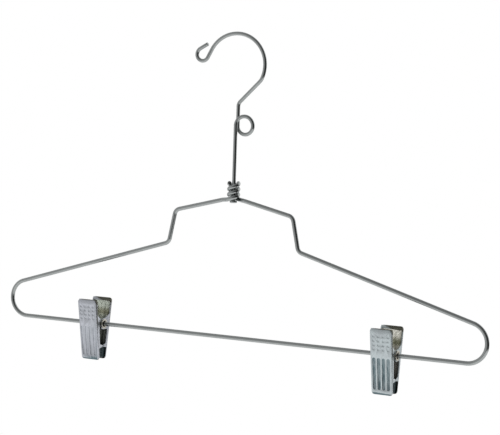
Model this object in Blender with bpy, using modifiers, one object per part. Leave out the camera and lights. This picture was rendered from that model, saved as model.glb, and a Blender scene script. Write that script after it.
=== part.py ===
"""Suit hanger of bent wire, with a turning hook and two spring clips on its trouser bar.

Metres, +Z up. The origin is the rail seat, on the hook's turning axis.
The frame lies in the XZ plane, its trouser bar runs along X and +Y is the back.
"""

from math import acos, atan, atan2, cos, degrees, pi, radians, sin, tan

import bmesh
import bpy
import numpy as np
from mathutils import Matrix, Vector

# Wires
FRAME_WIRE = 0.0034
HOOK_WIRE = 0.0030
RUNNING_GAP = 0.0004
SEAT_GAP = 0.0003
SAME = 1e-7

# Frame, with heights above the axis of the trouser bar
BAR_DROP = 0.24166
HALF_WIDTH = 0.2143
END_RADIUS = 0.0154
DROP_FOOT_X = 0.0586
DROP_FOOT_HEIGHT = 0.0731
DROP_TOP_X = 0.0529
DROP_TOP_HEIGHT = 0.1002
DROP_BEND = 0.0055
NECK_SLOPE = radians(13.5)
NECK_REACH = 0.011
NECK_HEIGHT = 0.1124

# Winding of both wire ends round the stem
WINDING_TURNS = 1.4
WINDING_GAP = 0.00065
WINDING_STEPS = 20
LEAD_OUT = 0.35
LEAD_IN = 0.5
LEAD_STEPS = 8

# Hook, with drops below the rail seat
HOOK_HALF_WIDTH = 0.02562
HOOK_HALF_HEIGHT = 0.02481
HOOK_OFFSET = -0.00114
HOOK_START = radians(-22)
HOOK_LEAVE = radians(151.4)
HOOK_STEPS = 24
KNEE_DROP = 0.05366
KNEE_SLOPE = radians(40.7)
KNEE_BEND = 0.005
THROAT_BEND = 0.010
THROAT_ROOM = 0.95
RING_DROP = 0.0712
RING_RADIUS = 0.0072
RING_GAP = 0.0007
RING_STEPS = 24
TIP_STRAIGHT = 0.0072
TIP_RADIUS = 0.0052
TIP_TURN = radians(212)
TIP_END = 0.0080
HEAD_RADIUS = 0.0030
HEAD_HEIGHT = 0.0019
HEAD_LEAD = 0.0001
# The head's profile, as (share of its height below the neck, share of its radius)
HEAD_PROFILE = ((1, 0.62), (0.85, 0.86), (0.55, 1), (0.25, 1), (0, 0.86))

# Clips, measured from their pivot on the bar's axis
RIGHT_CLIP_X = 0.1351
LEFT_CLIP_X = -0.1289
SHEET = 0.0008
JAW_TOP = 0.0208
JAW_BOTTOM = 0.0305
TOP_WIDTH = 0.0183
BOTTOM_WIDTH = 0.0171
HALF_DEPTH_TOP = 0.0132
HALF_DEPTH_BOTTOM = 0.0058
PLATE_BEND = 0.0010
INNER_BEND = 0.6
PLATE_CORNER = 0.0023
LIP = 0.0018
FLANGE = 0.0034
HEM_DEPTH = 0.0030
HEM_DROP = 0.0028
HEM_ROUND = 0.0009
EAR_RADIUS = 0.0046
EAR_GAP = 0.00035
EAR_LEAD = 0.0010
EAR_SHOULDER = 0.6
EAR_STEP = 0.8
NECK_TOP = 0.0080
WINDOW_TOP = 0.0056
WINDOW_BOTTOM = 0.0170
TAB_TOP = 0.0182
TAB_BOTTOM = 0.0196
TAB_GAP = 0.0003
SHARP_CORNER = 0.0003
CUT_CORNER = 0.0006
WINDOW_CORNER = 0.0008
NECK_CORNER = 0.0015

# Grooves and dimples pressed in the jaw's face
PRESS_ROOT = 0.75
PRESS_ROUND = 0.9
PRESS_COUNT = 4
PRESS_PITCH = 0.0039
GROOVE_WIDTH = 0.0027
GROOVE_DEPTH = 0.0004
GROOVE_TOP = -0.0015
GROOVE_BOTTOM = -0.0268
DIMPLE_ROWS = 4
DIMPLE_TOP = 0.0154
DIMPLE_PITCH = 0.0034
DIMPLE_SIZE = 0.0019
DIMPLE_DEPTH = 0.00025

# Pads
PAD_TOP = 0.0199
PAD_GAP = 0.00015
PAD_RIB_COUNT = 4
PAD_RIB_DEPTH = 0.0005

# Pivot sleeve, which is a hollow rivet that runs on the bar
BAR_PLAY = 0.0009
SLEEVE_WALL = 0.00035
SLEEVE_FLARE = 0.0012
SLEEVE_STEPS = 20

# Torsion spring
SPRING_WIRE = 0.0012
SPRING_TURNS = 6
SPRING_GAP = 0.00055
SPRING_LEG_TOP = 0.0140
SPRING_STEPS = 10

# Values that follow from those above
BAR_Z = -BAR_DROP
NECK_Z = BAR_Z + NECK_HEIGHT
WINDING_RADIUS = HOOK_WIRE / 2 + RUNNING_GAP + FRAME_WIRE / 2
PLATE_SLOPE = (HALF_DEPTH_TOP - HALF_DEPTH_BOTTOM) / (JAW_TOP + JAW_BOTTOM)
WIDTH_SLOPE = (TOP_WIDTH - BOTTOM_WIDTH) / (JAW_TOP + JAW_BOTTOM)
JAW_WIDTH = BOTTOM_WIDTH + WIDTH_SLOPE * JAW_BOTTOM
SLEEVE_BORE = FRAME_WIRE / 2 + BAR_PLAY
SLEEVE_RADIUS = SLEEVE_BORE + SLEEVE_WALL
EAR_HOLE = SLEEVE_RADIUS + SEAT_GAP
EAR_ROUND = 0.99 * EAR_RADIUS
SPRING_RADIUS = SLEEVE_RADIUS + RUNNING_GAP + SPRING_WIRE / 2


def clear_scene():
    for item in list(bpy.data.objects):
        bpy.data.objects.remove(item, do_unlink=True)


def new_collection(name):
    made = bpy.data.collections.new(name)
    bpy.context.scene.collection.children.link(made)
    return made


def finish(name, colour, roughness, metallic):
    """A plain material with the piece's colour, roughness and metallic value."""
    made = bpy.data.materials.new(name)
    made.use_nodes = True
    shader = made.node_tree.nodes["Principled BSDF"]
    shader.inputs["Base Color"].default_value = (*colour, 1)
    shader.inputs["Roughness"].default_value = roughness
    shader.inputs["Metallic"].default_value = metallic
    return made


def smooth(mesh):
    mesh.shade_smooth()
    mesh.set_sharp_from_angle(angle=radians(35))


# Paths in the frame's plane, as (x, z)


def arc(centre, radius, start, end, step=radians(11)):
    count = max(2, round(abs(end - start) / step))
    angles = [start + (end - start) * i / count for i in range(count + 1)]
    return [(centre[0] + radius * cos(a), centre[1] + radius * sin(a)) for a in angles]


def fillet(before, corner, after, radius, step=radians(11)):
    """Points of the arc that rounds a corner of a path."""
    corner = Vector(corner)
    back = (Vector(before) - corner).normalized()
    on = (Vector(after) - corner).normalized()
    half = back.angle(on) / 2
    centre = corner + (back + on).normalized() * radius / sin(half)
    first = corner + back * radius / tan(half) - centre
    last = corner + on * radius / tan(half) - centre
    start = atan2(first.y, first.x)
    turn = (atan2(last.y, last.x) - start + pi) % (2 * pi) - pi
    return arc(centre, radius, start, start + turn, step)


def rounded(corners, step=radians(30)):
    """A closed outline from (x, y, radius) corners."""
    points = []
    for i, (x, y, radius) in enumerate(corners):
        before = corners[i - 1][:2]
        after = corners[(i + 1) % len(corners)][:2]
        if radius:
            points += fillet(before, (x, y), after, radius, step)
        else:
            points.append((x, y))
    return points


def wire(name, points, diameter, resolution, swell=None):
    """A round wire along points, with closed ends."""
    curve = bpy.data.curves.new(name, "CURVE")
    curve.dimensions = "3D"
    curve.bevel_depth = diameter / 2
    curve.bevel_resolution = resolution
    curve.use_fill_caps = True
    spline = curve.splines.new("POLY")
    spline.points.add(len(points) - 1)
    for i, point in enumerate(points):
        spline.points[i].co = (*point, 1)
        spline.points[i].radius = swell[i] if swell else 1
    return bpy.data.objects.new(name, curve)


def least_gap(points, diameter, skip):
    """Least gap of a wire to itself, past the neighbours that lie within skip along it."""
    track = np.array(points)
    along = np.concatenate([[0], np.cumsum(np.linalg.norm(np.diff(track, axis=0), axis=1))])
    fine = np.linspace(0, along[-1], int(along[-1] / 0.0002))
    dense = np.stack([np.interp(fine, along, track[:, k]) for k in range(3)], axis=1)
    least = np.inf
    for i in range(len(dense)):
        far = fine > fine[i] + skip
        if far.any():
            least = min(least, np.linalg.norm(dense[far] - dense[i], axis=1).min())
    return least - diameter


# Frame


def shoulder_tangent():
    """Where the shoulder line leaves the end bend, and the angle there."""
    centre = Vector((HALF_WIDTH - END_RADIUS, BAR_Z + END_RADIUS))
    foot = Vector((DROP_FOOT_X, BAR_Z + DROP_FOOT_HEIGHT))
    away = foot - centre
    angle = atan2(away.y, away.x) - acos(END_RADIUS / away.length)
    return centre, angle


def bezier(first, first_handle, last_handle, last, count):
    points = []
    for i in range(1, count):
        t = i / count
        points.append(
            first * (1 - t) ** 3
            + first_handle * 3 * t * (1 - t) ** 2
            + last_handle * 3 * t ** 2 * (1 - t)
            + last * t ** 3
        )
    return points


def frame_half():
    """The right half of the frame wire, from the middle of the bar to the wire's end in the winding."""
    centre, leave = shoulder_tangent()
    bend = arc(centre, END_RADIUS, -pi / 2, leave)
    foot = (DROP_FOOT_X, BAR_Z + DROP_FOOT_HEIGHT)
    top = (DROP_TOP_X, BAR_Z + DROP_TOP_HEIGHT)
    entry = (NECK_REACH, top[1] + (DROP_TOP_X - NECK_REACH) * tan(NECK_SLOPE))
    path = bend
    path += fillet(bend[-1], foot, top, DROP_BEND, radians(13))
    path += fillet(foot, top, entry, DROP_BEND, radians(13))
    path.append(entry)
    points = [Vector((x, 0, z)) for x, z in path]

    lead = winding_pitch() * 2
    start = Vector((0, WINDING_RADIUS, NECK_Z))
    into = Vector((-1, 0, lead / (2 * pi * WINDING_RADIUS))).normalized()
    along = Vector((-cos(NECK_SLOPE), 0, sin(NECK_SLOPE)))
    leave_handle = points[-1] + along * LEAD_OUT * NECK_REACH
    enter_handle = start - into * LEAD_IN * NECK_REACH
    points += bezier(points[-1], leave_handle, enter_handle, start, LEAD_STEPS)
    for i in range(round(WINDING_TURNS * WINDING_STEPS) + 1):
        turn = i / WINDING_STEPS
        angle = pi / 2 + 2 * pi * turn
        points.append(
            Vector((WINDING_RADIUS * cos(angle), WINDING_RADIUS * sin(angle), NECK_Z + lead * turn))
        )
    return points


def winding_pitch():
    """Height from one pass to the next, measured square to wires that climb round the stem."""
    girth = 2 * pi * WINDING_RADIUS
    square = FRAME_WIRE + WINDING_GAP
    return square / (1 - (2 * square / girth) ** 2) ** 0.5


def frame_wire():
    half = frame_half()
    other = [Vector((-p.x, -p.y, p.z)) for p in reversed(half)]
    points = other + half
    gap = least_gap(points, FRAME_WIRE, 3 * FRAME_WIRE)
    print(f"frame wire, least gap to itself: {gap * 1000:.2f} mm")
    return wire("frame_wire", points, FRAME_WIRE, 4)


# Hook


def hook_arc():
    """The big bend, from the throat round to where it runs straight to the tip."""
    centre_z = HOOK_WIRE / 2 - HOOK_HALF_HEIGHT
    points = []
    for i in range(HOOK_STEPS + 1):
        angle = HOOK_START + (HOOK_LEAVE - HOOK_START) * i / HOOK_STEPS
        points.append(
            (HOOK_OFFSET + HOOK_HALF_WIDTH * cos(angle), centre_z + HOOK_HALF_HEIGHT * sin(angle))
        )
    return points


def hook_tip(start, heading):
    """The straight run, the hairpin and the short end of the tip."""
    corner = Vector(start) + Vector((cos(heading), sin(heading))) * TIP_STRAIGHT
    centre = corner + Vector((sin(heading), -cos(heading))) * TIP_RADIUS
    first = heading + pi / 2
    points = arc(centre, TIP_RADIUS, first, first - TIP_TURN, radians(18))
    last = heading - TIP_TURN
    end = Vector(points[-1]) + Vector((cos(last), sin(last))) * TIP_END
    return points + [tuple(end)]


def upper_hook():
    """The hook above its ring, in the plane, as (x, z)."""
    bend = hook_arc()
    knee = Vector((0, -KNEE_DROP))
    rise = Vector((cos(KNEE_SLOPE), sin(KNEE_SLOPE)))
    start = Vector(bend[0])
    run = Vector((-HOOK_HALF_WIDTH * sin(HOOK_START), HOOK_HALF_HEIGHT * cos(HOOK_START))).normalized()
    gone = start - knee
    reach = (gone.x * run.y - gone.y * run.x) / (rise.x * run.y - rise.y * run.x)
    throat = knee + rise * reach
    heading = atan2(
        HOOK_HALF_HEIGHT * cos(HOOK_LEAVE), -HOOK_HALF_WIDTH * sin(HOOK_LEAVE)
    )
    turned = rise.angle(run)
    room = (start - throat).length / tan(turned / 2)
    bend_radius = min(THROAT_BEND, THROAT_ROOM * room)
    path = fillet((0, -RING_DROP), knee, throat, KNEE_BEND)
    path += fillet(knee, throat, bend[0], bend_radius)
    path += bend
    path += hook_tip(bend[-1], heading)
    return path


def hook_wire():
    neck_bottom = NECK_Z - FRAME_WIRE / 2 - SEAT_GAP
    wide = HEAD_RADIUS / (HOOK_WIRE / 2)
    points = [(0, 0, neck_bottom - down * HEAD_HEIGHT) for down, _ in HEAD_PROFILE]
    swell = [share * wide for _, share in HEAD_PROFILE]
    points.append((0, 0, neck_bottom + HEAD_LEAD))
    stem = len(points)
    shift = HOOK_WIRE + RING_GAP
    for i in range(RING_STEPS + 1):
        turn = i / RING_STEPS
        angle = pi - 2 * pi * turn
        points.append(
            (RING_RADIUS * (1 + cos(angle)), shift * turn, RING_RADIUS * sin(angle) - RING_DROP)
        )
    path = upper_hook()
    first_x, last_x = path[0][0], max(x for x, _ in path)
    reached = False
    for x, z in path:
        share = min(1, max(0, (x - first_x) / (last_x - first_x)))
        reached = reached or share >= 1
        back = 0 if reached else shift * (1 - share * share * (3 - 2 * share))
        points.append((x, back, z))
    swell += [1] * (len(points) - len(swell))
    gap = least_gap(points[stem:], HOOK_WIRE, 3 * HOOK_WIRE)
    print(f"hook wire, least gap to itself: {gap * 1000:.2f} mm")
    return wire("hook_wire", points, HOOK_WIRE, 4, swell)


# Clips, in their own frame: origin on the bar's axis, +Y towards the rear jaw


def plate_face(z):
    """Depth of a jaw's outer face from the pivot, at height z."""
    return HALF_DEPTH_BOTTOM + PLATE_SLOPE * (z + JAW_BOTTOM)


def mesh_of(obj):
    """The object's evaluated mesh, with caps welded, as a new mesh; the object goes."""
    bpy.context.scene.collection.objects.link(obj)
    bpy.context.view_layer.update()
    graph = bpy.context.evaluated_depsgraph_get()
    mesh = bpy.data.meshes.new_from_object(obj.evaluated_get(graph))
    mesh.transform(obj.matrix_world)
    bm = bmesh.new()
    bm.from_mesh(mesh)
    bmesh.ops.remove_doubles(bm, verts=bm.verts, dist=1e-6)
    bmesh.ops.recalc_face_normals(bm, faces=bm.faces)
    bm.to_mesh(mesh)
    bm.free()
    bpy.data.objects.remove(obj, do_unlink=True)
    return mesh


def sheet_outline(outlines, low, high):
    """A solid of flat outlines, given as (y, z), that reaches from x = low to x = high."""
    curve = bpy.data.curves.new("outline", "CURVE")
    curve.dimensions = "2D"
    curve.fill_mode = "BOTH"
    curve.extrude = (high - low) / 2
    for outline in outlines:
        spline = curve.splines.new("POLY")
        spline.points.add(len(outline) - 1)
        for point, (y, z) in zip(spline.points, outline):
            point.co = (y, z, 0, 1)
        spline.use_cyclic_u = True
    made = bpy.data.objects.new("outline", curve)
    made.matrix_world = Matrix(
        ((0, 0, 1, (low + high) / 2), (1, 0, 0, 0), (0, 1, 0, 0), (0, 0, 0, 1))
    )
    return mesh_of(made)


def boolean(mesh, tool, operation):
    """mesh joined with tool, or cut by it."""
    body = bpy.data.objects.new("body", mesh)
    cutter = bpy.data.objects.new("cutter", tool)
    cutter.hide_render = True
    cutter.display_type = "WIRE"
    bpy.context.scene.collection.objects.link(cutter)
    modifier = body.modifiers.new("cut", "BOOLEAN")
    modifier.solver = "EXACT"
    modifier.operation = operation
    modifier.object = cutter
    made = mesh_of(body)
    bpy.data.objects.remove(cutter, do_unlink=True)
    return made


def tray(inset):
    """A dished plate as a solid block, open side inwards, drawn in by inset on every walled side."""
    bm = bmesh.new()
    bmesh.ops.create_cube(bm, size=1)
    height = (JAW_TOP + JAW_BOTTOM) / cos(atan(PLATE_SLOPE)) - 2 * inset
    deep = HALF_DEPTH_TOP + 2 * inset
    bmesh.ops.scale(bm, vec=(JAW_WIDTH - 2 * inset, deep, height), verts=bm.verts)
    bmesh.ops.translate(bm, vec=(0, -deep / 2 - inset, height / 2 + inset), verts=bm.verts)
    corners = [e for e in bm.edges if abs(e.verts[0].co.y - e.verts[1].co.y) > deep / 2]
    bmesh.ops.bevel(
        bm, geom=corners, offset=PLATE_CORNER - inset, segments=3, profile=0.5, affect="EDGES"
    )
    rim = [e for e in bm.edges if all(abs(v.co.y + inset) < SAME for v in e.verts)]
    bmesh.ops.bevel(
        bm, geom=rim, offset=PLATE_BEND - INNER_BEND * inset, segments=2, profile=0.5, affect="EDGES"
    )
    lean = Matrix.Rotation(-atan(PLATE_SLOPE), 4, "X")
    foot = Matrix.Translation((0, HALF_DEPTH_BOTTOM, -JAW_BOTTOM))
    bmesh.ops.transform(bm, matrix=foot @ lean, verts=bm.verts)
    bmesh.ops.recalc_face_normals(bm, faces=bm.faces)
    mesh = bpy.data.meshes.new("tray")
    bm.to_mesh(mesh)
    bm.free()
    return mesh


def away_outline(ear_edge):
    """What is cut from a side flange, as an outline. ear_edge holds its corners round the pivot."""
    far = -2 * HALF_DEPTH_TOP
    over = JAW_TOP + HALF_DEPTH_TOP
    under = -JAW_BOTTOM - HALF_DEPTH_TOP

    def inner(z, depth):
        return plate_face(z) - depth

    return rounded(
        [
            (far, over, 0),
            (inner(over, HEM_DEPTH), over, 0),
            (inner(JAW_TOP - HEM_DROP, HEM_DEPTH), JAW_TOP - HEM_DROP, SHARP_CORNER),
            (inner(JAW_TOP - 2 * HEM_DROP, LIP), JAW_TOP - 2 * HEM_DROP, WINDOW_CORNER),
            (inner(NECK_TOP, LIP), NECK_TOP, NECK_CORNER),
            *ear_edge,
            (inner(-WINDOW_TOP, FLANGE), -WINDOW_TOP, WINDOW_CORNER),
            (inner(-WINDOW_BOTTOM, FLANGE), -WINDOW_BOTTOM, WINDOW_CORNER),
            (TAB_GAP, -TAB_TOP, SHARP_CORNER),
            (TAB_GAP, -TAB_BOTTOM, SHARP_CORNER),
            (inner(-TAB_BOTTOM, LIP), -TAB_BOTTOM - LIP / 2, CUT_CORNER),
            (inner(under, LIP), under, 0),
            (far, under, 0),
        ]
    )


def grid_of(outline, centres):
    return [[(x + a, z + b) for a, b in outline] for x, z in centres]


def on_plate(outlines, low, high):
    """Prisms square to the plate, from low to high over its outer face, on outlines drawn on it."""
    mesh = sheet_outline(outlines, low, high)
    turn = Matrix(((0, 1, 0, 0), (1, 0, 0, 0), (0, 0, 1, 0), (0, 0, 0, 1)))
    lean = Matrix.Rotation(-atan(PLATE_SLOPE), 4, "X")
    place = Matrix.Translation((0, plate_face(0), 0))
    mesh.transform(place @ lean @ turn)
    mesh.flip_normals()
    return mesh


def pressed(mesh, outlines, depth):
    """The plate pushed in by depth: dished on its outer face and raised on its inner one."""
    raised = on_plate(outlines, -SHEET - depth, -PRESS_ROOT * SHEET)
    mesh = boolean(mesh, raised, "UNION")
    return boolean(mesh, on_plate(outlines, -depth, HALF_DEPTH_BOTTOM), "DIFFERENCE")


def hemmed(mesh):
    """The top edge of the finger plate turned in and down, with a round fold, between the side flanges."""
    lean = atan(PLATE_SLOPE)
    height = (JAW_TOP + JAW_BOTTOM) / cos(lean)

    def leaned(points):
        """(y, z) of points given as depth from the plate's outer face and height up it."""
        foot = Vector((HALF_DEPTH_BOTTOM, -JAW_BOTTOM))
        inward = Vector((-cos(lean), sin(lean)))
        upward = Vector((sin(lean), cos(lean)))
        return [tuple(foot + inward * depth + upward * up) for depth, up in points]

    face = HEM_DEPTH - SHEET / 4
    strip = [
        (face - SHEET, height - SHEET / 3),
        (face, height - SHEET / 3),
        (face, height - HEM_DROP),
        (face - SHEET, height - HEM_DROP),
    ]
    half = JAW_WIDTH / 2 - SHEET / 2
    mesh = boolean(mesh, sheet_outline([leaned(strip)], -half, half), "UNION")
    centre = (face - HEM_ROUND, height - HEM_ROUND + SHEET / 16)
    fold = arc(centre, HEM_ROUND, 0, pi / 2, radians(30))
    clear = [
        (face - HEM_ROUND, height + SHEET),
        (HEM_DEPTH + SHEET, height + SHEET),
        (HEM_DEPTH + SHEET, height - HEM_ROUND),
    ]
    return boolean(mesh, sheet_outline([leaned(clear + fold)], -JAW_WIDTH, JAW_WIDTH), "DIFFERENCE")


def jaw_form():
    """One jaw, as stamped: a dished plate with an outer ear at +X and an inner ear at -X."""
    half = JAW_WIDTH / 2
    mesh = boolean(tray(0), tray(SHEET), "DIFFERENCE")

    lobe = [
        (EAR_RADIUS * EAR_SHOULDER, EAR_RADIUS, WINDOW_CORNER),
        (-EAR_RADIUS, EAR_RADIUS, EAR_ROUND),
        (-EAR_RADIUS, -EAR_RADIUS, EAR_ROUND),
        (plate_face(-EAR_RADIUS) - FLANGE - EAR_LEAD, -EAR_RADIUS, SHARP_CORNER),
    ]
    clear = EAR_RADIUS + 2 * SEAT_GAP
    notch = [(clear, EAR_RADIUS, CUT_CORNER)]
    mesh = boolean(mesh, sheet_outline([away_outline(lobe)], 0, JAW_WIDTH), "DIFFERENCE")
    mesh = boolean(mesh, sheet_outline([away_outline(notch)], -JAW_WIDTH, 0), "DIFFERENCE")

    mesh = hemmed(mesh)

    ear_outer = half - SHEET - EAR_GAP
    ear_inner = ear_outer - SHEET
    strip = plate_face(0) - SHEET - LIP / 2
    ear = rounded(
        [
            (-EAR_RADIUS, EAR_RADIUS, EAR_ROUND),
            (-EAR_RADIUS, -EAR_RADIUS, EAR_ROUND),
            (strip, -EAR_RADIUS, CUT_CORNER),
            (strip, EAR_RADIUS, CUT_CORNER),
        ]
    )
    mesh = boolean(mesh, sheet_outline([ear], -ear_outer, -ear_inner), "UNION")
    step_side = EAR_RADIUS * EAR_STEP
    step = [
        (clear + SEAT_GAP, step_side),
        (clear + SEAT_GAP, -step_side),
        (strip - SEAT_GAP, -step_side),
        (strip - SEAT_GAP, step_side),
    ]
    joggle = sheet_outline([step], -half + SHEET / 3, -ear_inner - SHEET / 3)
    mesh = boolean(mesh, joggle, "UNION")

    hole = arc((0, 0), EAR_HOLE, 0, 2 * pi, radians(22.5))[:-1]
    mesh = boolean(mesh, sheet_outline([hole], -JAW_WIDTH, JAW_WIDTH), "DIFFERENCE")

    columns = [(i - (PRESS_COUNT - 1) / 2) * PRESS_PITCH for i in range(PRESS_COUNT)]
    side = GROOVE_WIDTH / 2
    groove = rounded(
        [
            (-side, GROOVE_TOP, side * PRESS_ROUND),
            (-side, GROOVE_BOTTOM, side * PRESS_ROUND),
            (side, GROOVE_BOTTOM, side * PRESS_ROUND),
            (side, GROOVE_TOP, side * PRESS_ROUND),
        ],
        radians(45),
    )
    grooves = grid_of(groove, [(x, 0) for x in columns])
    mesh = pressed(mesh, grooves, GROOVE_DEPTH)
    side = DIMPLE_SIZE / 2
    dimple = [(-side, -side), (side, -side), (side, side), (-side, side)]
    rows = [DIMPLE_TOP - i * DIMPLE_PITCH for i in range(DIMPLE_ROWS)]
    dimples = grid_of(dimple, [(x, z) for x in columns for z in rows])
    mesh = pressed(mesh, dimples, DIMPLE_DEPTH)
    return tapered(mesh)


def tapered(mesh):
    """The jaw widens from its mouth to its finger plate."""
    for vertex in mesh.vertices:
        vertex.co.x *= 1 + WIDTH_SLOPE / JAW_WIDTH * vertex.co.z
    return mesh


def pad_form():
    """A rubber pad that fills the mouth of a jaw, with ribs across its gripping face."""
    low = -JAW_BOTTOM + SHEET + 2 * SEAT_GAP
    top = -PAD_TOP

    def back(z):
        return plate_face(z) - (SHEET + GROOVE_DEPTH + SEAT_GAP) / cos(atan(PLATE_SLOPE))

    outline = [(back(low), low), (back(top), top), (PAD_GAP + PAD_RIB_DEPTH, top)]
    pitch = (top - low) / PAD_RIB_COUNT
    for i in range(PAD_RIB_COUNT):
        crest = top - pitch * (i + 0.5)
        outline += [(PAD_GAP, crest + pitch / 5), (PAD_GAP, crest - pitch / 5)]
        outline.append((PAD_GAP + PAD_RIB_DEPTH, crest - pitch / 2))
    half = BOTTOM_WIDTH / 2 - SHEET - 2 * SEAT_GAP
    return sheet_outline([outline], -half, half)


def sleeve_form():
    """A hollow rivet along X with a flared collar at each end."""
    seat = TOP_WIDTH / 2 + SEAT_GAP
    end = seat + SLEEVE_WALL
    collar = SLEEVE_RADIUS + SLEEVE_FLARE
    profile = [
        (SLEEVE_BORE, -end),
        (SLEEVE_BORE, end),
        (collar, end),
        (collar, seat),
        (SLEEVE_RADIUS, seat),
        (SLEEVE_RADIUS, -seat),
        (collar, -seat),
        (collar, -end),
    ]
    mesh = bpy.data.meshes.new("sleeve")
    edges = [(i, (i + 1) % len(profile)) for i in range(len(profile))]
    mesh.from_pydata([(r, 0, z) for r, z in profile], edges, [])
    body = bpy.data.objects.new("sleeve", mesh)
    screw = body.modifiers.new("turn", "SCREW")
    screw.steps = SLEEVE_STEPS
    screw.render_steps = SLEEVE_STEPS
    screw.use_merge_vertices = True
    screw.merge_threshold = 1e-5
    body.matrix_world = Matrix.Rotation(pi / 2, 4, "Y")
    return mesh_of(body)


def spring_points():
    """Rear leg, coil and front leg: the coil runs along X round the sleeve."""
    inset = SHEET + DIMPLE_DEPTH + SEAT_GAP + SPRING_WIRE / 2
    tip = Vector((plate_face(SPRING_LEG_TOP) - inset / cos(atan(PLATE_SLOPE)), SPRING_LEG_TOP))
    leave = atan2(tip.y, tip.x) - acos(SPRING_RADIUS / tip.length)
    first = pi - leave
    last = leave + 2 * pi * (SPRING_TURNS + 1)
    pitch = SPRING_WIRE + SPRING_GAP
    length = pitch * (last - first) / (2 * pi)
    count = round((last - first) / (2 * pi) * SPRING_STEPS)
    coil = []
    for i in range(count + 1):
        share = i / count
        angle = first + (last - first) * share
        coil.append(
            (
                length * (0.5 - share),
                SPRING_RADIUS * cos(angle),
                SPRING_RADIUS * sin(angle),
            )
        )
    return [(length / 2, -tip.x, tip.y), *coil, (-length / 2, tip.x, tip.y)]


def add(name, data, look, collection, parent, turn=0.0):
    made = data if isinstance(data, bpy.types.Object) else bpy.data.objects.new(name, data)
    made.name = name
    collection.objects.link(made)
    made.parent = parent
    made.rotation_euler = (0, 0, turn)
    made.data.materials.clear()
    made.data.materials.append(look)
    if made.type == "MESH":
        smooth(made.data)
    return made


def clip(side, x, forms, looks, collection):
    pivot = bpy.data.objects.new(f"{side}_pivot", None)
    collection.objects.link(pivot)
    pivot.location = (x, 0, BAR_Z)
    add(f"{side}_pivot_sleeve", forms["sleeve"].copy(), looks["steel"], collection, pivot)
    for jaw, turn in (("rear", 0.0), ("front", pi)):
        add(f"{side}_{jaw}_jaw", forms["jaw"].copy(), looks["jaw"], collection, pivot, turn)
        add(f"{side}_{jaw}_pad", forms["pad"].copy(), looks["rubber"], collection, pivot, turn)
    points = spring_points()
    spring = wire(f"{side}_torsion_spring", points, SPRING_WIRE, 1)
    add(spring.name, spring, looks["spring"], collection, pivot)
    gap = least_gap(points, SPRING_WIRE, 3 * SPRING_WIRE)
    print(f"{side} spring, least gap to itself: {gap * 1000:.2f} mm")


def main():
    clear_scene()
    hanger = new_collection("suit_hanger")
    looks = {
        "chrome": finish("chrome_wire", (0.62, 0.63, 0.65), 0.12, 1.0),
        "jaw": finish("nickel_sheet", (0.56, 0.60, 0.62), 0.3, 1.0),
        "rubber": finish("dark_rubber", (0.02, 0.05, 0.055), 0.6, 0.0),
        "steel": finish("plated_steel", (0.5, 0.5, 0.5), 0.25, 1.0),
        "spring": finish("spring_steel", (0.35, 0.35, 0.37), 0.3, 1.0),
    }
    add("frame_wire", frame_wire(), looks["chrome"], hanger, None)
    add("hook_wire", hook_wire(), looks["chrome"], hanger, None)
    forms = {"jaw": jaw_form(), "pad": pad_form(), "sleeve": sleeve_form()}
    clip("left", LEFT_CLIP_X, forms, looks, hanger)
    clip("right", RIGHT_CLIP_X, forms, looks, hanger)
    opening = 2 * atan((HALF_DEPTH_TOP - HEM_DEPTH) / JAW_TOP)
    print(f"finger plates meet at {degrees(opening):.1f} degrees")


main()
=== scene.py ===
from math import acos, atan, atan2, cos, pi, radians, sin, tan

import bpy
from mathutils import Matrix, Vector
from mathutils.geometry import interpolate_bezier
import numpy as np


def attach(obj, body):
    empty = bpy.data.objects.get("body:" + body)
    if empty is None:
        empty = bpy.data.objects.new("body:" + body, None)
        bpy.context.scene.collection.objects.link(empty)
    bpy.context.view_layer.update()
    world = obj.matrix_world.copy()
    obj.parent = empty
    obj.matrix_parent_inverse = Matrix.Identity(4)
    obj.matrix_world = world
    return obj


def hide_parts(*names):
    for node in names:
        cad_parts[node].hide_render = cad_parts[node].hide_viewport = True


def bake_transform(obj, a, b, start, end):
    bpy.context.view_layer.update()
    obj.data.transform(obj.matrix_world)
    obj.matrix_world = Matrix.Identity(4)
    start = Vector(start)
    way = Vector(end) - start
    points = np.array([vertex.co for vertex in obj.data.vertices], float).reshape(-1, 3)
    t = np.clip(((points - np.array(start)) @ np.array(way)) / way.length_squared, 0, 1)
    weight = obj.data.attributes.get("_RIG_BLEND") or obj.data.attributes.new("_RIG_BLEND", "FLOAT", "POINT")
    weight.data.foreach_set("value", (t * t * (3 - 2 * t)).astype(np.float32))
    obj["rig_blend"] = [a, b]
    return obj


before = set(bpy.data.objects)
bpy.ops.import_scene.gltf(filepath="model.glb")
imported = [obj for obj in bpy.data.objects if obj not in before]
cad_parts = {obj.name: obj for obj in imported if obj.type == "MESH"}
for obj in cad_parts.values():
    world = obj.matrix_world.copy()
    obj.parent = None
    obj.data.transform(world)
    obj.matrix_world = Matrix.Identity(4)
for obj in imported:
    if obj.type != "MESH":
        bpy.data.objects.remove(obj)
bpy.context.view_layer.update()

# A chrome wire suit hanger with two pressed steel clips, hung in front of a white sweep.
# Metres. The origin is the rail seat under the hook's crown, the bar runs along X, and +Y is the back.

# Wires, with the same sizes as the solids

FRAME_WIRE = 0.0034
HOOK_WIRE = 0.0030
RUNNING_GAP = 0.0004
SEAT_GAP = 0.0003
WIRE_SIDES = 24
# A cut end, as (distance from the end in wire diameters, share of the wire's radius)
CUT_END = ((0, 0.82), (0.04, 0.94), (0.12, 1.0))

# Frame, with heights above the bar's axis

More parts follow.
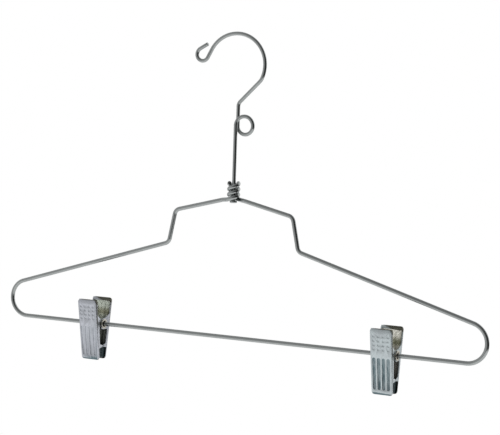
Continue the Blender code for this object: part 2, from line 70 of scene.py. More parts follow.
BAR_Z = -0.24166
HALF_WIDTH = 0.2143
END_RADIUS = 0.0154
DROP_FOOT = (0.0586, 0.0731)
DROP_TOP = (0.0529, 0.1002)
DROP_BEND = 0.0055
NECK_SLOPE = radians(13.5)
NECK_REACH = 0.011
NECK_HEIGHT = 0.1124
WINDING_TURNS = 1.4
WINDING_GAP = 0.00065
WINDING_STEPS = 56
LEAD_OUT = 0.35
LEAD_IN = 0.5
LEAD_STEPS = 22

# Hook, with drops below the rail seat

HOOK_HALF_WIDTH = 0.02562
HOOK_HALF_HEIGHT = 0.02481
HOOK_OFFSET = -0.00114
HOOK_START = radians(-22)
HOOK_LEAVE = radians(151.4)
HOOK_STEPS = 60
KNEE_DROP = 0.05366
KNEE_SLOPE = radians(40.7)
KNEE_BEND = 0.005
THROAT_BEND = 0.010
THROAT_ROOM = 0.95
RING_DROP = 0.0712
RING_RADIUS = 0.0072
RING_GAP = 0.0007
RING_STEPS = 72
TIP_STRAIGHT = 0.0072
TIP_RADIUS = 0.0052
TIP_TURN = radians(212)
TIP_END = 0.0080
HEAD_RADIUS = 0.0030
HEAD_HEIGHT = 0.0019
HEAD_LEAD = 0.0001
HEAD_STEPS = 8
# The head's flat ends have this share of its radius, and the dome is cut this share of a half turn in
HEAD_FLAT = 0.55
HEAD_CUT = 0.12

# Clips, measured from their pivot on the bar's axis

CLIP_X = {"left": -0.1289, "right": 0.1351}
SHEET = 0.0008
JAW_TOP = 0.0208
JAW_BOTTOM = 0.0305
HALF_DEPTH_TOP = 0.0132
HALF_DEPTH_BOTTOM = 0.0058
PLATE_SLOPE = (HALF_DEPTH_TOP - HALF_DEPTH_BOTTOM) / (JAW_TOP + JAW_BOTTOM)
HALF_JAW = 0.00912
DIMPLE_DEPTH = 0.00025
GROOVE_DEPTH = 0.0004
BAR_PLAY = 0.0009
SLEEVE_WALL = 0.00035
SLEEVE_RADIUS = FRAME_WIRE / 2 + BAR_PLAY + SLEEVE_WALL
SPRING_WIRE = 0.0012
SPRING_TURNS = 6
SPRING_GAP = 0.00055
SPRING_LEG_TOP = 0.0140
SPRING_SIDES = 12
SPRING_STEPS = 36

# Rounds of these widths break each edge that is sharper than the hard edge

JAW_EDGE = 0.00012
PAD_EDGE = 0.00025
SLEEVE_EDGE = 0.0001
HARD_EDGE = radians(28)
SMOOTH_EDGE = radians(40)
SAME_PLANE = radians(0.5)
SAME_POINT = 1e-6

# Where a jaw's finish and its painted shade change, from its pivot. Depths are below its outer face.

SIDE_WALL = HALF_JAW - 1.2 * SHEET
OUTER_SKIN = 0.6 * SHEET
FOLD_DEPTH = 2 * SHEET
HEM_DEPTH = 0.8 * SHEET
HEM_LOW = 0.0176
PRESS_LOW = -0.0285
LIP_LOW = 0.0012 - JAW_BOTTOM
# A face whose normal reaches this far along a direction faces that way
FACES_UP = 0.6
FACES_OUT = 0.5
# Painted shade inside the jaws starts this high above the pivot, and is full this much lower
INNER_SHADE_FROM = 0.002
INNER_SHADE_OVER = 0.006
BAND_HEIGHT = 0.0085
BAND_HALF = 0.0045
BAND_WAVE = 0.003

# How dark each painted shade is, and how aged each clip is: 0 none, 1 full. The lip's is past full, so that
# thin streaks stay dark there.

WEAR_AND_LINE_SHADE = {"left": 0.12, "right": 1.0}
WAFFLE_SHADE = 0.12
LIP_SHADE = 1.6
# The hem's painted shade, at its middle, gained toward its right end and gained over one sheet of height
HEM_SHADE_MIDDLE = 0.5
HEM_SHADE_ASIDE = 0.45
HEM_SHADE_UP = 0.1
HEM_SHADE_EDGE = (0.45, 0.7)

# The studio

FLOOR_Z = -0.62
FLOOR_RADIUS = 1.05
FLOOR_SIDES = 96
FADE_FROM = 0.3
FADE_TO = 0.95
FLOOR_SHEEN = 0.8
ROOM_LIGHT = 0.4
METAL_BRIGHT = 0.62
SIDE_GLOW = 0.16
SWEEP_GLOW = 0.95
# A soft patch starts and is full at these cosines from its middle
PATCH_EDGE = (0.7, 0.95)
LAMP_AIM = Vector((0, 0, -0.15))
# Each lamp's name, place, size and power in watts
LAMPS = (
    ("key_soft_box", (-1.1, -1.4, -0.1), 1.0, 14),
    ("fill_soft_box", (1.6, -1.0, 0.9), 1.2, 5),
)

# The camera, fitted to the photograph. Its lens and sensor are in millimetres.

CAMERA_AZIMUTH = radians(27.0)
CAMERA_ELEVATION = radians(3.882)
CAMERA_ROLL = radians(1.772)
CAMERA_DISTANCE = 1.1294
CAMERA_LENS = 102.28
CAMERA_SENSOR = 36
CAMERA_NEAR = 0.05
CAMERA_TARGET = Vector((0.01534, 0, 0.09770 + BAR_Z))


# Helpers


def linear(code):
    """A colour written as sRGB hex, in linear light."""
    values = [int(code[i : i + 2], 16) / 255 for i in (1, 3, 5)]
    return (*[v / 12.92 if v <= 0.04045 else ((v + 0.055) / 1.055) ** 2.4 for v in values], 1)


def add_node(tree, kind, inputs=(), **settings):
    """A node with its settings. Inputs give each socket its value, or the other node's socket to link."""
    made = tree.nodes.new(kind)
    for key, value in settings.items():
        setattr(made, key, value)
    for socket, value in dict(inputs).items():
        if isinstance(value, bpy.types.NodeSocket):
            tree.links.new(value, made.inputs[socket])
        else:
            made.inputs[socket].default_value = value
    return made


def new_material(name):
    made = bpy.data.materials.new(name)
    made.use_nodes = True
    made.node_tree.nodes.clear()
    return made, made.node_tree


def per_metre(size_mm):
    """The scale of a pattern whose grain is size_mm wide."""
    return 1000 / size_mm


def select_only(piece):
    bpy.ops.object.select_all(action="DESELECT")
    piece.select_set(True)
    bpy.context.view_layer.objects.active = piece


def dress(piece, look, node):
    """Gives a piece its material and slot, and puts it in the place of a solid."""
    piece.data.materials.clear()
    piece.data.materials.append(look)
    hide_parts(node)


# Materials


def chrome_plated_wire():
    """Bright chrome on drawn steel: it mirrors the room, softened by the drawing marks under the plate."""
    made, tree = new_material("chrome_plated_drawn_wire")
    place = add_node(tree, "ShaderNodeTexCoord").outputs["Object"]
    # Handling leaves a film in patches of about 12 mm
    film = add_node(
        tree, "ShaderNodeTexNoise", {"Vector": place, "Scale": per_metre(12), "Detail": 3}
    )
    tone = add_node(
        tree,
        "ShaderNodeMix",
        {0: film.outputs["Fac"], 6: linear("#B4B8B7"), 7: linear("#A2A6A6")},
        data_type="RGBA",
    )
    dull = add_node(
        tree,
        "ShaderNodeMapRange",
        {"Value": film.outputs["Fac"], "From Min": 0.3, "From Max": 0.7, "To Min": 0.16, "To Max": 0.24},
    )
    # Drawing marks lie about 0.02 mm apart, and are drawn at 0.25 mm so that they show
    marks = add_node(
        tree, "ShaderNodeTexNoise", {"Vector": place, "Scale": per_metre(0.25), "Detail": 2}
    )
    relief = add_node(
        tree, "ShaderNodeBump", {"Height": marks.outputs["Fac"], "Distance": 0.0000025}
    )
    shader = add_node(
        tree,
        "ShaderNodeBsdfPrincipled",
        {
            "Base Color": tone.outputs[2],
            "Metallic": 1,
            "Roughness": dull.outputs[0],
            "Normal": relief.outputs[0],
        },
    )
    add_node(tree, "ShaderNodeOutputMaterial", {"Surface": shader.outputs[0]})
    return made


def nickel_plated_sheet():
    """Barrel-plated nickel on stamped sheet: satin outside, with painted shade in its grooves and dimples,
    along its bottom lip, under the hem's fold and inside below the pivot, and dull inside.
    """
    made, tree = new_material("nickel_plated_stamped_sheet")
    place = add_node(tree, "ShaderNodeTexCoord").outputs["Object"]
    # Marks from mark_finish: inside faces, painted shade inside below the pivot, painted shade in the
    # grooves, dimples and bottom lip, painted shade under the hem's fold, and age
    marked = {
        name: add_node(tree, "ShaderNodeAttribute", attribute_name=name).outputs["Fac"]
        for name in ("inside", "pressed", "painted_inner_shade", "painted_hem_shade", "age")
    }
    # The plate clouds in patches of about 6 mm
    clouds = add_node(
        tree, "ShaderNodeTexNoise", {"Vector": place, "Scale": per_metre(6), "Detail": 3}
    )
    # A fresh plate is a little lavender, and an aged one a little green
    bright = add_node(
        tree,
        "ShaderNodeMix",
        {0: marked["age"], 6: linear("#CFD0DB"), 7: linear("#D2DEE0")},
        data_type="RGBA",
    )
    outer = add_node(
        tree,
        "ShaderNodeMix",
        {0: clouds.outputs["Fac"], 6: bright.outputs[2], 7: linear("#B9BEC2")},
        data_type="RGBA",
    )
    # Painted shade for the grooves, dimples and bottom lip, where shade and dark reflections fall, lies in
    # streaks of about 1 mm, eight times as long
    stretched = add_node(
        tree, "ShaderNodeVectorMath", {0: place, 1: (1, 1, 0.12)}, operation="MULTIPLY"
    )
    streaks = add_node(
        tree,
        "ShaderNodeTexNoise",
        {"Vector": stretched.outputs[0], "Scale": per_metre(1), "Detail": 3},
    )
    uneven = add_node(
        tree,
        "ShaderNodeMapRange",
        {"Value": streaks.outputs["Fac"], "From Min": 0.3, "From Max": 0.65, "To Min": 0.45, "To Max": 1},
    )
    line_shade_amount = add_node(
        tree, "ShaderNodeMath", {0: marked["pressed"], 1: uneven.outputs[0]}, operation="MULTIPLY"
    )
    line_shade_colour = add_node(
        tree,
        "ShaderNodeMix",
        {0: line_shade_amount.outputs[0], 6: outer.outputs[2], 7: linear("#62757B")},
        data_type="RGBA",
    )
    # Inside, the plate is light, more so on an aged clip, but for a darker olive band half way up its finger
    # end
    inner_tone = add_node(
        tree,
        "ShaderNodeMix",
        {0: marked["age"], 6: linear("#BAC3B6"), 7: linear("#FBF9EE")},
        data_type="RGBA",
    )
    height = add_node(tree, "ShaderNodeSeparateXYZ", {0: place})
    from_band = add_node(
        tree, "ShaderNodeMath", {0: height.outputs["Z"], 1: BAR_Z + BAND_HEIGHT}, operation="SUBTRACT"
    )
    apart = add_node(tree, "ShaderNodeMath", {0: from_band.outputs[0]}, operation="ABSOLUTE")
    wavy = add_node(
        tree,
        "ShaderNodeMath",
        {0: clouds.outputs["Fac"], 1: -BAND_WAVE, 2: apart.outputs[0]},
        operation="MULTIPLY_ADD",
    )
    off_band = add_node(
        tree,
        "ShaderNodeMapRange",
        {"Value": wavy.outputs[0], "From Min": -BAND_WAVE / 2, "From Max": BAND_HALF},
        interpolation_type="SMOOTHSTEP",
    )
    lining = add_node(
        tree,
        "ShaderNodeMix",
        {0: off_band.outputs[0], 6: linear("#8F9078"), 7: inner_tone.outputs[2]},
        data_type="RGBA",
    )
    # Below the pivot the inside gets a painted shade, near black, for the shade between the jaws
    shaded_inside = add_node(
        tree,
        "ShaderNodeMix",
        {0: marked["painted_inner_shade"], 6: lining.outputs[2], 7: linear("#1F201C")},
        data_type="RGBA",
    )
    plate = add_node(
        tree,
        "ShaderNodeMix",
        {0: marked["inside"], 6: line_shade_colour.outputs[2], 7: shaded_inside.outputs[2]},
        data_type="RGBA",
    )
    # The folded hem gets a painted shade along one half, for the shade and dark reflection under its fold
    hem_shading = add_node(
        tree,
        "ShaderNodeMapRange",
        {"Value": marked["painted_hem_shade"], "From Min": HEM_SHADE_EDGE[0], "From Max": HEM_SHADE_EDGE[1]},
        interpolation_type="SMOOTHSTEP",
    )
    tone = add_node(
        tree,
        "ShaderNodeMix",
        {0: hem_shading.outputs[0], 6: plate.outputs[2], 7: linear("#66665C")},
        data_type="RGBA",
    )
    dull = add_node(
        tree,
        "ShaderNodeMapRange",
        {"Value": clouds.outputs["Fac"], "From Min": 0.3, "From Max": 0.7, "To Min": 0.32, "To Max": 0.42},
    )
    # Inside, the plate is thin and the dull steel shows through
    thin = add_node(
        tree, "ShaderNodeMapRange", {"Value": marked["inside"], "To Min": 1, "To Max": 0.4}
    )
    # Tumbling leaves dents of about 0.4 mm
    dents = add_node(
        tree, "ShaderNodeTexNoise", {"Vector": place, "Scale": per_metre(0.4), "Detail": 2}
    )
    relief = add_node(
        tree, "ShaderNodeBump", {"Height": dents.outputs["Fac"], "Distance": 0.000006}
    )
    shader = add_node(
        tree,
        "ShaderNodeBsdfPrincipled",
        {
            "Base Color": tone.outputs[2],
            "Metallic": thin.outputs[0],
            "Roughness": dull.outputs[0],
            "Normal": relief.outputs[0],
        },
    )
    add_node(tree, "ShaderNodeOutputMaterial", {"Surface": shader.outputs[0]})
    return made


def moulded_rubber():
    """Dark nitrile pad, pressed in a mould: dull, with a fine skin."""
    made, tree = new_material("dark_moulded_rubber")
    place = add_node(tree, "ShaderNodeTexCoord").outputs["Object"]
    # Bloom on the rubber comes in patches of about 3 mm
    bloom = add_node(
        tree, "ShaderNodeTexNoise", {"Vector": place, "Scale": per_metre(3), "Detail": 3}
    )
    tone = add_node(
        tree,
        "ShaderNodeMix",
        {0: bloom.outputs["Fac"], 6: linear("#1D3034"), 7: linear("#2B4347")},
        data_type="RGBA",
    )
    # The mould's skin has grain of about 0.2 mm
    grain = add_node(
        tree, "ShaderNodeTexNoise", {"Vector": place, "Scale": per_metre(0.2), "Detail": 2}
    )
    relief = add_node(
        tree, "ShaderNodeBump", {"Height": grain.outputs["Fac"], "Distance": 0.00002}
    )
    shader = add_node(
        tree,
        "ShaderNodeBsdfPrincipled",
        {
            "Base Color": tone.outputs[2],
            "Roughness": 0.52,
            "IOR": 1.52,
            "Normal": relief.outputs[0],
        },
    )
    add_node(tree, "ShaderNodeOutputMaterial", {"Surface": shader.outputs[0]})
    return made


def oiled_spring_wire():
    """Hard-drawn spring wire, dark under a thin film of oil."""
    made, tree = new_material("oiled_spring_wire")
    place = add_node(tree, "ShaderNodeTexCoord").outputs["Object"]
    # Oil gathers in patches of about 2 mm
    oil = add_node(
        tree, "ShaderNodeTexNoise", {"Vector": place, "Scale": per_metre(2), "Detail": 3}
    )
    tone = add_node(
        tree,
        "ShaderNodeMix",
        {0: oil.outputs["Fac"], 6: linear("#7C7C76"), 7: linear("#5C5D59")},
        data_type="RGBA",
    )
    dull = add_node(
        tree,
        "ShaderNodeMapRange",
        {"Value": oil.outputs["Fac"], "From Min": 0.3, "From Max": 0.7, "To Min": 0.25, "To Max": 0.38},
    )
    shader = add_node(
        tree,
        "ShaderNodeBsdfPrincipled",
        {"Base Color": tone.outputs[2], "Metallic": 1, "Roughness": dull.outputs[0]},
    )
    add_node(tree, "ShaderNodeOutputMaterial", {"Surface": shader.outputs[0]})
    return made


def plated_sleeve():
    """Rolled steel eyelet with a thin zinc plate, a little warmer than the jaws."""
    made, tree = new_material("zinc_plated_sleeve")
    place = add_node(tree, "ShaderNodeTexCoord").outputs["Object"]
    # Zinc spangle of about 1.5 mm
    spangle = add_node(
        tree, "ShaderNodeTexNoise", {"Vector": place, "Scale": per_metre(1.5), "Detail": 3}
    )
    tone = add_node(
        tree,
        "ShaderNodeMix",
        {0: spangle.outputs["Fac"], 6: linear("#CCC8BD"), 7: linear("#B3AFA3")},
        data_type="RGBA",
    )
    dull = add_node(
        tree,
        "ShaderNodeMapRange",
        {"Value": spangle.outputs["Fac"], "From Min": 0.3, "From Max": 0.7, "To Min": 0.28, "To Max": 0.4},
    )
    shader = add_node(
        tree,
        "ShaderNodeBsdfPrincipled",
        {"Base Color": tone.outputs[2], "Metallic": 1, "Roughness": dull.outputs[0]},
    )
    add_node(tree, "ShaderNodeOutputMaterial", {"Surface": shader.outputs[0]})
    return made


# Paths, as (x, z) points in the frame's plane


def arc(centre, radius, start, end, step=radians(4)):
    count = max(2, round(abs(end - start) / step))
    angles = [start + (end - start) * i / count for i in range(count + 1)]
    return [(centre[0] + radius * cos(a), centre[1] + radius * sin(a)) for a in angles]


def fillet(before, corner, after, radius):
    """Points of the arc that rounds a corner of a path."""
    corner = Vector(corner)
    back = (Vector(before) - corner).normalized()
    on = (Vector(after) - corner).normalized()
    half = back.angle(on) / 2
    centre = corner + (back + on).normalized() * radius / sin(half)
    first = corner + back * radius / tan(half) - centre
    last = corner + on * radius / tan(half) - centre
    start = atan2(first.y, first.x)
    turn = (atan2(last.y, last.x) - start + pi) % (2 * pi) - pi
    return arc(centre, radius, start, start + turn)


# Wires


def drawn_wire(name, points, diameter, sides, swell=None):
    """A round wire along points, as a closed mesh. The swell is each point's share of the radius."""
    curve = bpy.data.curves.new(name, "CURVE")
    curve.dimensions = "3D"
    curve.bevel_depth = diameter / 2
    curve.bevel_resolution = sides // 2 - 2
    curve.use_fill_caps = True
    spline = curve.splines.new("POLY")
    spline.points.add(len(points) - 1)
    for i, (point, share) in enumerate(zip(points, swell or [1] * len(points))):
        spline.points[i].co = (*point, 1)
        spline.points[i].radius = share
    piece = bpy.data.objects.new(name, curve)
    bpy.context.scene.collection.objects.link(piece)
    select_only(piece)
    bpy.ops.object.convert(target="MESH")
    select_only(piece)
    bpy.ops.object.mode_set(mode="EDIT")
    bpy.ops.mesh.select_all(action="SELECT")
    bpy.ops.mesh.remove_doubles(threshold=SAME_POINT)
    bpy.ops.mesh.normals_make_consistent(inside=False)
    bpy.ops.object.mode_set(mode="OBJECT")
    bpy.ops.object.shade_smooth_by_angle(angle=SMOOTH_EDGE)
    return piece


def cut_end(points, diameter):
    """The first points of a wire, and their swell, so that its cut end has a small chamfer."""
    first, second = Vector(points[0]), Vector(points[1])
    along = (second - first).normalized() * diameter
    return [tuple(first + along * back) for back, _ in CUT_END], [share for _, share in CUT_END]


def frame_half():
    """The right half of the frame wire, from the bar's right end to the cut end in the neck winding."""
    centre = Vector((HALF_WIDTH - END_RADIUS, BAR_Z + END_RADIUS))
    foot = Vector((DROP_FOOT[0], BAR_Z + DROP_FOOT[1]))
    top = Vector((DROP_TOP[0], BAR_Z + DROP_TOP[1]))
    away = foot - centre
    leave = atan2(away.y, away.x) - acos(END_RADIUS / away.length)
    path = arc(centre, END_RADIUS, -pi / 2, leave)
    entry = (NECK_REACH, top.y + (top.x - NECK_REACH) * tan(NECK_SLOPE))
    path += fillet(path[-1], foot, top, DROP_BEND)
    path += fillet(foot, top, entry, DROP_BEND)
    path.append(entry)
    points = [Vector((x, 0, z)) for x, z in path]

    # The wire leads into a winding whose turns leave room for the other half's turns
    ring = HOOK_WIRE / 2 + RUNNING_GAP + FRAME_WIRE / 2
    square = FRAME_WIRE + WINDING_GAP
    lead = 2 * square / (1 - (square / (pi * ring)) ** 2) ** 0.5
    neck = BAR_Z + NECK_HEIGHT
    start = Vector((0, ring, neck))
    into = Vector((-1, 0, lead / (2 * pi * ring))).normalized() * LEAD_IN * NECK_REACH
    along = Vector((-cos(NECK_SLOPE), 0, sin(NECK_SLOPE))) * LEAD_OUT * NECK_REACH
    points += interpolate_bezier(points[-1], points[-1] + along, start - into, start, LEAD_STEPS)[1:-1]
    for i in range(round(WINDING_TURNS * WINDING_STEPS) + 1):
        turns = i / WINDING_STEPS
        angle = pi / 2 + 2 * pi * turns
        points.append(Vector((ring * cos(angle), ring * sin(angle), neck + lead * turns)))
    return points


def make_frame_wire(look):
    half = frame_half()
    other = [Vector((-p.x, -p.y, p.z)) for p in reversed(half)]
    points = [tuple(p) for p in other + half]
    head, head_swell = cut_end(points, FRAME_WIRE)
    tail, tail_swell = cut_end(points[::-1], FRAME_WIRE)
    swell = head_swell + [1] * (len(points) - 2) + tail_swell[::-1]
    piece = drawn_wire(
        "bent_frame_wire", head + points[1:-1] + tail[::-1], FRAME_WIRE, WIRE_SIDES, swell
    )
    dress(piece, look, "frame_wire")
    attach(piece, "frame")


def upper_hook():
    """The hook above its ring, in the plane."""
    centre_z = HOOK_WIRE / 2 - HOOK_HALF_HEIGHT
    bend = []
    for i in range(HOOK_STEPS + 1):
        angle = HOOK_START + (HOOK_LEAVE - HOOK_START) * i / HOOK_STEPS
        bend.append(
            (HOOK_OFFSET + HOOK_HALF_WIDTH * cos(angle), centre_z + HOOK_HALF_HEIGHT * sin(angle))
        )
    # The slanted run goes on to the throat, where it meets the big bend's tangent
    knee = Vector((0, -KNEE_DROP))
    rise = Vector((cos(KNEE_SLOPE), sin(KNEE_SLOPE)))
    start = Vector(bend[0])
    run = Vector((-HOOK_HALF_WIDTH * sin(HOOK_START), HOOK_HALF_HEIGHT * cos(HOOK_START)))
    run.normalize()
    gone = start - knee
    throat = knee + rise * (gone.x * run.y - gone.y * run.x) / (rise.x * run.y - rise.y * run.x)
    radius = min(THROAT_BEND, (start - throat).length / tan(rise.angle(run) / 2) * THROAT_ROOM)
    path = fillet((0, -RING_DROP), knee, throat, KNEE_BEND)
    path += fillet(knee, throat, bend[0], radius)
    path += bend

    heading = atan2(HOOK_HALF_HEIGHT * cos(HOOK_LEAVE), -HOOK_HALF_WIDTH * sin(HOOK_LEAVE))
    corner = Vector(bend[-1]) + Vector((cos(heading), sin(heading))) * TIP_STRAIGHT
    middle = corner + Vector((sin(heading), -cos(heading))) * TIP_RADIUS
    first = heading + pi / 2
    path += arc(middle, TIP_RADIUS, first, first - TIP_TURN)
    last = heading - TIP_TURN
    path.append(tuple(Vector(path[-1]) + Vector((cos(last), sin(last))) * TIP_END))
    return path


def make_hook_wire(look):
    neck_bottom = BAR_Z + NECK_HEIGHT - FRAME_WIRE / 2 - SEAT_GAP
    wide = HEAD_RADIUS / (HOOK_WIRE / 2)
    points, swell = [], []
    # The upset end is a dome with flat ends, under the winding
    for i in range(HEAD_STEPS + 1):
        share = i / HEAD_STEPS
        points.append((0, 0, neck_bottom - HEAD_HEIGHT * (1 - share)))
        round_part = sin(pi * (HEAD_CUT + (1 - 2 * HEAD_CUT) * share)) ** 0.5
        swell.append(wide * (HEAD_FLAT + (1 - HEAD_FLAT) * round_part))
    points.append((0, 0, neck_bottom + HEAD_LEAD))
    swell.append(1)
    # One turn of the ring steps back by a wire and a gap
    shift = HOOK_WIRE + RING_GAP
    for i in range(RING_STEPS + 1):
        turn = i / RING_STEPS
        angle = pi - 2 * pi * turn
        points.append(
            (RING_RADIUS * (1 + cos(angle)), shift * turn, RING_RADIUS * sin(angle) - RING_DROP)
        )
    # From there the wire eases forward again, and is in the frame's plane at the bend's widest point
    path = upper_hook()
    first_x, last_x = path[0][0], max(x for x, _ in path)
    reached = False
    for x, z in path:
        share = min(1, max(0, (x - first_x) / (last_x - first_x)))
        reached = reached or share >= 1
        back = 0 if reached else shift * (1 - share * share * (3 - 2 * share))
        points.append((x, back, z))
    swell += [1] * (len(points) - len(swell))
    tail, tail_swell = cut_end(points[::-1], HOOK_WIRE)
    piece = drawn_wire(
        "bent_hook_wire",
        points[:-1] + tail[::-1],
        HOOK_WIRE,
        WIRE_SIDES,
        swell[:-1] + tail_swell[::-1],
    )
    dress(piece, look, "hook_wire")
    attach(piece, "hook")


# Clips


def softened(node, name, edge):
    """A copy of a solid with its edges broken by a small round, as a die and a plating bath leave them."""
    piece = bpy.data.objects.new(name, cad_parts[node].data.copy())
    bpy.context.scene.collection.objects.link(piece)
    select_only(piece)
    bpy.ops.object.mode_set(mode="EDIT")
    bpy.ops.mesh.select_all(action="SELECT")
    bpy.ops.mesh.remove_doubles(threshold=SAME_POINT)
    bpy.ops.mesh.dissolve_limited(angle_limit=SAME_PLANE)
    bpy.ops.object.mode_set(mode="OBJECT")
    modifier = piece.modifiers.new("edges", "BEVEL")
    modifier.width = edge
    modifier.segments = 2
    modifier.limit_method = "ANGLE"
    modifier.angle_limit = HARD_EDGE
    modifier.use_clamp_overlap = True
    bpy.ops.object.modifier_apply(modifier="edges")
    bpy.ops.object.shade_smooth_by_angle(angle=SMOOTH_EDGE)
    return piece


def mark_finish(piece, x, outward, wear_and_shade):
    """Marks a jaw for its finish and its painted shade.

    Faces are inside or not. Points have how much painted shade they get inside below the pivot, in the
    grooves, dimples and bottom lip, and under the hem's fold, and how aged they are.
    """
    mesh = piece.data
    for name in ("painted_inner_shade", "pressed", "painted_hem_shade", "age"):
        mesh.attributes.new(name, "FLOAT", "POINT")
    mesh.attributes.new("inside", "FLOAT", "FACE")
    marks = mesh.attributes

    def depth_of(point):
        outer_face = HALF_DEPTH_BOTTOM + PLATE_SLOPE * (point.z - BAR_Z + JAW_BOTTOM)
        return outer_face - point.y * outward

    for i, face in enumerate(mesh.polygons):
        across = face.center.x - x
        depth = depth_of(face.center)
        folded = face.center.z - BAR_Z > HEM_LOW and depth > FOLD_DEPTH
        if abs(across) < SIDE_WALL:
            hidden = depth > OUTER_SKIN and face.normal.z < FACES_UP
            inside = hidden and not (folded and face.normal.y * outward < FACES_OUT)
        else:
            inside = face.normal.x * across < -FACES_OUT * abs(across)
        marks["inside"].data[i].value = inside
    for i, vertex in enumerate(mesh.vertices):
        across = vertex.co.x - x
        height = vertex.co.z - BAR_Z
        depth = depth_of(vertex.co)
        # Painted shade inside the jaws, full a little below the pivot
        marks["painted_inner_shade"].data[i].value = min(1, max(0, (INNER_SHADE_FROM - height) / INNER_SHADE_OVER))
        # Painted shade in the grooves and dimples, and a painted shadow line along the bottom lip
        in_plate = abs(across) < SIDE_WALL and PRESS_LOW < height < HEM_LOW
        strength = 1 if height < 0 else WAFFLE_SHADE
        in_line = min(1, max(0, depth / GROOVE_DEPTH)) * strength * (in_plate and depth < OUTER_SKIN)
        lip = height < LIP_LOW and depth < OUTER_SKIN
        marks["pressed"].data[i].value = max(in_line * wear_and_shade, LIP_SHADE * lip)
        # Painted shade under the hem's fold, darker toward its right end and upward
        hem = height > HEM_LOW and depth > HEM_DEPTH
        aside = HEM_SHADE_ASIDE * across / SIDE_WALL
        upward = HEM_SHADE_UP * (height - HEM_LOW) / SHEET
        marks["painted_hem_shade"].data[i].value = hem * (HEM_SHADE_MIDDLE + aside + upward)
        marks["age"].data[i].value = wear_and_shade


def spring_points(x):
    """A torsion spring's axis, from the tip of one leg round the coil to the tip of the other."""
    inset = SHEET + DIMPLE_DEPTH + SEAT_GAP + SPRING_WIRE / 2
    face = HALF_DEPTH_BOTTOM + PLATE_SLOPE * (SPRING_LEG_TOP + JAW_BOTTOM)
    tip = Vector((face - inset / cos(atan(PLATE_SLOPE)), SPRING_LEG_TOP))
    radius = SLEEVE_RADIUS + RUNNING_GAP + SPRING_WIRE / 2
    leave = atan2(tip.y, tip.x) - acos(radius / tip.length)
    first = pi - leave
    last = leave + 2 * pi * (SPRING_TURNS + 1)
    length = (SPRING_WIRE + SPRING_GAP) * (last - first) / (2 * pi)
    count = round((last - first) / (2 * pi) * SPRING_STEPS)
    points = [(x + length / 2, -tip.x, BAR_Z + tip.y)]
    for i in range(count + 1):
        share = i / count
        angle = first + (last - first) * share
        points.append(
            (x + length * (0.5 - share), radius * cos(angle), BAR_Z + radius * sin(angle))
        )
    points.append((x - length / 2, tip.x, BAR_Z + tip.y))
    return points, length


def make_clip(side, looks):
    x = CLIP_X[side]
    for jaw, body in (("rear", f"{side}_clip"), ("front", f"{side}_front")):
        plate = softened(f"{side}_{jaw}_jaw", f"{side}_{jaw}_stamping", JAW_EDGE)
        mark_finish(plate, x, -1 if jaw == "front" else 1, WEAR_AND_LINE_SHADE[side])
        dress(plate, looks["sheet"], f"{side}_{jaw}_jaw")
        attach(plate, body)
        pad = softened(f"{side}_{jaw}_pad", f"{side}_{jaw}_grip_pad", PAD_EDGE)
        dress(pad, looks["rubber"], f"{side}_{jaw}_pad")
        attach(pad, body)
    sleeve = softened(f"{side}_pivot_sleeve", f"{side}_eyelet", SLEEVE_EDGE)
    dress(sleeve, looks["sleeve"], f"{side}_pivot_sleeve")
    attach(sleeve, f"{side}_sleeve")
    points, length = spring_points(x)
    spring = drawn_wire(f"{side}_coil_spring", points, SPRING_WIRE, SPRING_SIDES)
    dress(spring, looks["spring"], f"{side}_torsion_spring")
    half = length / 2
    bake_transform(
        spring,
        f"{side}_clip",
        f"{side}_front",
        start=(x - half, 0, BAR_Z),
        end=(x + half, 0, BAR_Z),
    )


# Studio


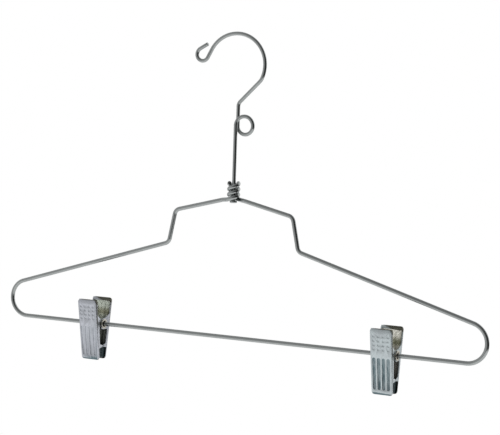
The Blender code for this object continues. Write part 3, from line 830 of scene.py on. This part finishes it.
def white_sweep():
    """White to the eye. In metal it is bright to the left and to the right behind, and dim elsewhere."""
    world = bpy.data.worlds.new("studio")
    world.use_nodes = True
    bpy.context.scene.world = world
    tree = world.node_tree
    tree.nodes.clear()
    right = Vector((cos(CAMERA_AZIMUTH), sin(CAMERA_AZIMUTH), 0))
    near = Vector((sin(CAMERA_AZIMUTH), -cos(CAMERA_AZIMUTH), 0))
    up = Vector((0, 0, 1))
    bright_way = -(0.75 * right + 0.55 * near).normalized()
    soft_patches = (
        (0.54 * near - 0.78 * right - 0.32 * up, SIDE_GLOW),
        (0.75 * right - 0.55 * near + 0.35 * up, SWEEP_GLOW),
    )
    path = add_node(tree, "ShaderNodeLightPath").outputs
    way = add_node(tree, "ShaderNodeTexCoord").outputs["Generated"]
    toward = add_node(
        tree, "ShaderNodeVectorMath", {0: way, 1: bright_way}, operation="DOT_PRODUCT"
    )
    metal = add_node(
        tree,
        "ShaderNodeMapRange",
        {"Value": toward.outputs["Value"], "From Min": -1, "From Max": 1, "To Max": METAL_BRIGHT},
    )
    for patch_way, glow in soft_patches:
        aside = add_node(
            tree,
            "ShaderNodeVectorMath",
            {0: way, 1: patch_way.normalized()},
            operation="DOT_PRODUCT",
        )
        patch = add_node(
            tree,
            "ShaderNodeMapRange",
            {
                "Value": aside.outputs["Value"],
                "From Min": PATCH_EDGE[0],
                "From Max": PATCH_EDGE[1],
                "To Max": glow,
            },
            interpolation_type="SMOOTHSTEP",
        )
        metal = add_node(
            tree,
            "ShaderNodeMath",
            {0: metal.outputs[0], 1: patch.outputs[0]},
            operation="ADD",
            use_clamp=True,
        )
    # The eye and clear things see plain white, metal sees the shades, and matt faces get the room's light
    plain = add_node(
        tree,
        "ShaderNodeMath",
        {0: path["Is Camera Ray"], 1: path["Is Transmission Ray"]},
        operation="ADD",
    )
    mirrored = add_node(
        tree,
        "ShaderNodeMath",
        {0: path["Is Glossy Ray"], 1: metal.outputs[0], 2: plain.outputs[0]},
        operation="MULTIPLY_ADD",
    )
    known = add_node(
        tree,
        "ShaderNodeMath",
        {0: plain.outputs[0], 1: path["Is Glossy Ray"]},
        operation="ADD",
    )
    soft = add_node(
        tree,
        "ShaderNodeMath",
        {0: known.outputs[0], 1: -ROOM_LIGHT, 2: ROOM_LIGHT},
        operation="MULTIPLY_ADD",
    )
    strength = add_node(
        tree, "ShaderNodeMath", {0: mirrored.outputs[0], 1: soft.outputs[0]}, operation="ADD"
    )
    white = add_node(
        tree, "ShaderNodeBackground", {"Color": (1, 1, 1, 1), "Strength": strength.outputs[0]}
    )
    add_node(tree, "ShaderNodeOutputWorld", {"Surface": white.outputs[0]})


def floor():
    """A matt white sheet well below the hanging piece, which fades into the white at its rim."""
    bpy.ops.object.select_all(action="DESELECT")
    bpy.ops.mesh.primitive_circle_add(
        vertices=FLOOR_SIDES, radius=FLOOR_RADIUS, fill_type="NGON", location=(0, 0, FLOOR_Z)
    )
    sheet = bpy.context.active_object
    sheet.name = "studio_floor"
    made, tree = new_material("matt_white_floor")
    place = add_node(tree, "ShaderNodeTexCoord").outputs["Object"]
    path = add_node(tree, "ShaderNodeLightPath").outputs
    away = add_node(tree, "ShaderNodeVectorMath", {0: place}, operation="LENGTH")
    rim = add_node(
        tree,
        "ShaderNodeMapRange",
        {
            "Value": away.outputs["Value"],
            "From Min": FADE_FROM * FLOOR_RADIUS,
            "From Max": FADE_TO * FLOOR_RADIUS,
            "To Min": FLOOR_SHEEN,
            "To Max": 1,
        },
    )
    eye = add_node(
        tree,
        "ShaderNodeMath",
        {0: path["Is Camera Ray"], 1: path["Is Transmission Ray"]},
        operation="ADD",
    )
    seen = add_node(
        tree, "ShaderNodeMath", {0: eye.outputs[0], 1: path["Is Glossy Ray"]}, operation="ADD"
    )
    share = add_node(
        tree,
        "ShaderNodeMath",
        {0: seen.outputs[0], 1: rim.outputs[0]},
        operation="MULTIPLY",
        use_clamp=True,
    )
    # The matt part keeps the shadow
    matt = add_node(
        tree, "ShaderNodeBsdfPrincipled", {"Base Color": linear("#F2F2F2"), "Roughness": 0.8}
    )
    glow = add_node(tree, "ShaderNodeEmission", {"Color": (1, 1, 1, 1), "Strength": 1})
    mix = add_node(
        tree,
        "ShaderNodeMixShader",
        {0: share.outputs[0], 1: matt.outputs[0], 2: glow.outputs[0]},
    )
    add_node(tree, "ShaderNodeOutputMaterial", {"Surface": mix.outputs[0]})
    sheet.data.materials.append(made)


def soft_light(name, place, size, power):
    """A square soft box aimed at the piece, which metal doesn't mirror."""
    lamp = bpy.data.lights.new(name, "AREA")
    lamp.size = size
    lamp.energy = power
    made = bpy.data.objects.new(name, lamp)
    bpy.context.scene.collection.objects.link(made)
    made.location = place
    made.rotation_euler = (LAMP_AIM - Vector(place)).to_track_quat("-Z", "Y").to_euler()
    made.visible_glossy = False


def camera():
    a, e, r = CAMERA_AZIMUTH, CAMERA_ELEVATION, CAMERA_ROLL
    back = Vector((sin(a) * cos(e), -cos(a) * cos(e), sin(e)))
    right = Vector((cos(a), sin(a), 0))
    up = right.cross(-back)
    rolled_right = right * cos(r) + up * sin(r)
    rolled_up = up * cos(r) - right * sin(r)
    data = bpy.data.cameras.new("camera")
    data.sensor_width = CAMERA_SENSOR
    data.lens = CAMERA_LENS
    data.clip_start = CAMERA_NEAR
    made = bpy.data.objects.new("camera", data)
    bpy.context.scene.collection.objects.link(made)
    turn = Matrix((rolled_right, rolled_up, back)).transposed().to_4x4()
    made.matrix_world = Matrix.Translation(CAMERA_TARGET + back * CAMERA_DISTANCE) @ turn
    bpy.context.scene.camera = made


def main():
    camera()
    white_sweep()
    floor()
    for lamp in LAMPS:
        soft_light(*lamp)
    bpy.context.scene.view_settings.view_transform = "Standard"
    chrome = chrome_plated_wire()
    looks = {
        "sheet": nickel_plated_sheet(),
        "rubber": moulded_rubber(),
        "spring": oiled_spring_wire(),
        "sleeve": plated_sleeve(),
    }
    make_frame_wire(chrome)
    make_hook_wire(chrome)
    for side in CLIP_X:
        make_clip(side, looks)


main()
